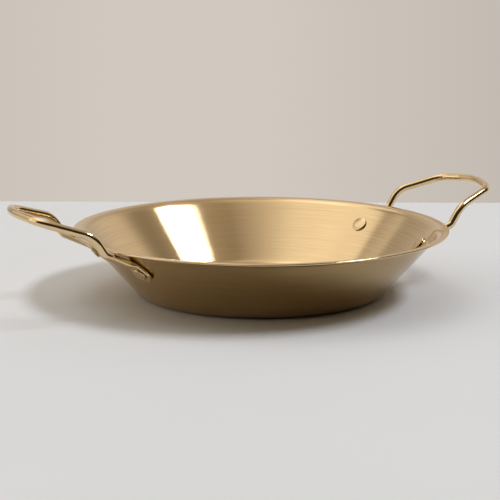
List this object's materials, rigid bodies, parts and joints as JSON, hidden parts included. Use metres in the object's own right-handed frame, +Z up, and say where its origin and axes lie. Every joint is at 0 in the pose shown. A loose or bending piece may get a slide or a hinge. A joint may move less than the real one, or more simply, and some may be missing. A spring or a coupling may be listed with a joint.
{
  "type": "two-handled pan",
  "caption": "Shallow round serving pan with a flared wall that curves out to a narrow lip, and riveted wire loop handles, in gold-coloured steel.",
  "frame": {"origin": "on the surface the pan stands on, under the middle of its base", "axes": "+Z up, +X through the right-hand handle, so both handles lie along X"},
  "size_m": [0.3288, 0.24, 0.0654],
  "materials": {
    "brushed_gold_steel": "brushed round the pan, gold-coloured",
    "polished_gold_wire": "polished round wire, gold-coloured",
    "polished_gold_rivet": "polished, gold-coloured"
  },
  "bodies": {
    "root": {"pan_body": "brushed_gold_steel", "handle_right": "polished_gold_wire", "handle_left": "polished_gold_wire", "rivet_right_front": "polished_gold_rivet", "rivet_right_back": "polished_gold_rivet", "rivet_left_front": "polished_gold_rivet", "rivet_left_back": "polished_gold_rivet"}
  },
  "joints": []
}
